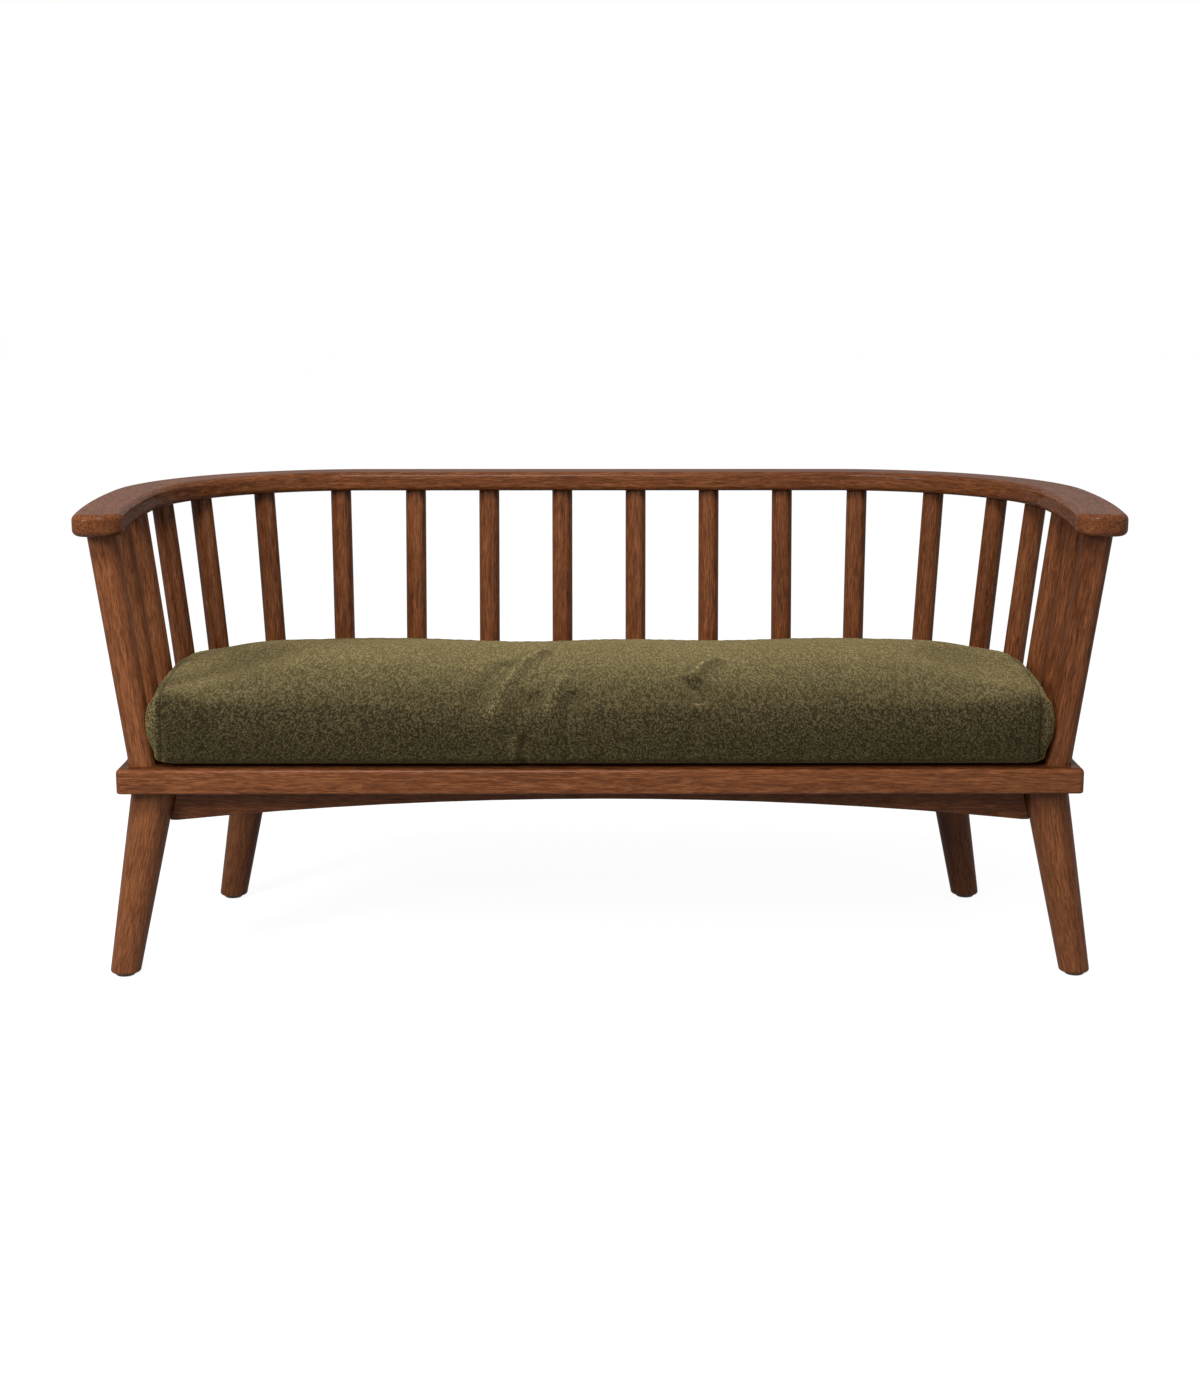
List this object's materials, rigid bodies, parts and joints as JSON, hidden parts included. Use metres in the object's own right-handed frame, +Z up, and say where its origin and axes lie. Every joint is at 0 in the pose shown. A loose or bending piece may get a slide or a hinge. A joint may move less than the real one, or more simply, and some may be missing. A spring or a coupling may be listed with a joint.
{
  "type": "garden sofa",
  "caption": "Hardwood garden sofa with a horseshoe top rail on round spindles, splayed tapered legs, an arched front apron and a loose crowned seat cushion.",
  "frame": {"origin": "on the floor, under the middle of the sofa's bounding box", "axes": "+X along the seat, to the right as seen from in front, +Y from the front to the back, +Z up"},
  "size_m": [1.64, 0.766, 0.747],
  "materials": {
    "oiled_hardwood": "satin oil",
    "dark_glide": "matte",
    "bright_steel": "plain",
    "olive_cloth": "soft chenille"
  },
  "bodies": {
    "frame": {"top_rail_back": "oiled_hardwood", "top_rail_corner_left": "oiled_hardwood", "top_rail_corner_right": "oiled_hardwood", "arm_left": "oiled_hardwood", "arm_right": "oiled_hardwood", "spindle_left_1": "oiled_hardwood", "spindle_left_2": "oiled_hardwood", "spindle_left_3": "oiled_hardwood", "spindle_left_4": "oiled_hardwood", "spindle_left_5": "oiled_hardwood", "spindle_left_6": "oiled_hardwood", "spindle_left_7": "oiled_hardwood", "spindle_left_8": "oiled_hardwood", "spindle_left_9": "oiled_hardwood", "spindle_right_1": "oiled_hardwood", "spindle_right_2": "oiled_hardwood", "spindle_right_3": "oiled_hardwood", "spindle_right_4": "oiled_hardwood", "spindle_right_5": "oiled_hardwood", "spindle_right_6": "oiled_hardwood", "spindle_right_7": "oiled_hardwood", "spindle_right_8": "oiled_hardwood", "spindle_right_9": "oiled_hardwood", "arm_post_left": "oiled_hardwood", "arm_post_right": "oiled_hardwood", "seat_front_rail": "oiled_hardwood", "seat_back_rail": "oiled_hardwood", "seat_corner_left": "oiled_hardwood", "seat_corner_right": "oiled_hardwood", "seat_side_left": "oiled_hardwood", "seat_side_right": "oiled_hardwood", "cross_rail": "oiled_hardwood", "front_cleat": "oiled_hardwood", "back_cleat": "oiled_hardwood", "seat_slat_1": "oiled_hardwood", "seat_slat_2": "oiled_hardwood", "seat_slat_3": "oiled_hardwood", "seat_slat_4": "oiled_hardwood", "seat_slat_5": "oiled_hardwood", "seat_slat_6": "oiled_hardwood", "seat_slat_7": "oiled_hardwood", "seat_slat_8": "oiled_hardwood", "seat_slat_9": "oiled_hardwood", "front_apron": "oiled_hardwood", "back_apron": "oiled_hardwood", "side_apron_left": "oiled_hardwood", "side_apron_right": "oiled_hardwood", "leg_front_left": "oiled_hardwood", "leg_front_right": "oiled_hardwood", "leg_back_left": "oiled_hardwood", "leg_back_right": "oiled_hardwood", "glide_front_left": "dark_glide", "glide_front_right": "dark_glide", "glide_back_left": "dark_glide", "glide_back_right": "dark_glide", "leg_bolts": "bright_steel", "slat_screws": "bright_steel", "frame_dowels": "oiled_hardwood"},
    "cushion": {"seat_cushion": "olive_cloth"}
  },
  "joints": [
    {"name": "cushion_lift", "type": "slide", "parent": "frame", "child": "cushion", "axis": [0, 0, 1], "range_m": [0, 0.42]}
  ]
}
